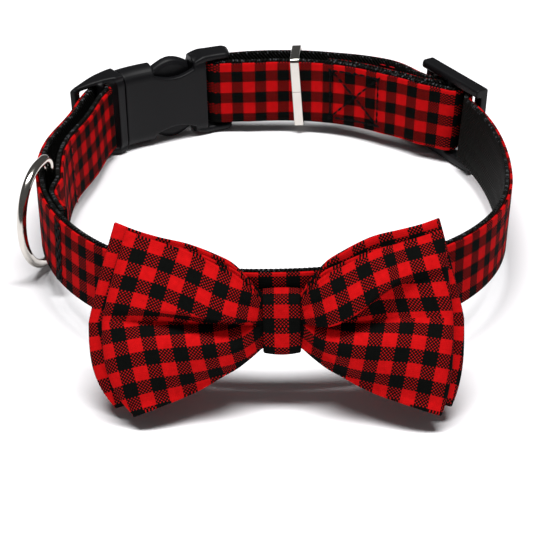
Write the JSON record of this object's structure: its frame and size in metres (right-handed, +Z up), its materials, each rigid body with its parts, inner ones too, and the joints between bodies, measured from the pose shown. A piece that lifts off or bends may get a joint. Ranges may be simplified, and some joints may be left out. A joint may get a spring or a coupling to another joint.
{
  "type": "bow tie dog collar",
  "caption": "Dog collar of gingham-faced webbing standing as a loop, with side-release buckle, strap slider, metal keeper, swinging leash ring and a layered bow sewn on its front.",
  "frame": {"origin": "on the floor, under the middle of the collar's box", "axes": "+Z up, the bow faces -Y, the leash ring is at -X and the slider at +X"},
  "size_m": [0.1659, 0.1983, 0.0541],
  "materials": {
    "webbing": "black ribbed nylon weave",
    "gingham": "red and black checked cotton",
    "plastic": "satin moulded",
    "nickel": "bright nickel plate"
  },
  "bodies": {
    "collar": {"strap_webbing": "webbing", "strap_cover": "gingham", "buckle_female": "plastic", "buckle_male": "plastic", "slider": "plastic", "keeper": "nickel", "bow_back": "gingham", "bow_front": "gingham", "bow_knot": "gingham"},
    "ring": {"d_ring": "nickel"}
  },
  "joints": [
    {"name": "ring_swing", "type": "hinge", "parent": "collar", "child": "ring", "pos_m": [-0.07255, 0.0039, 0.01974], "axis": [-0.0522, 0.0722, 0.996], "range_deg": [-134, 7]}
  ]
}
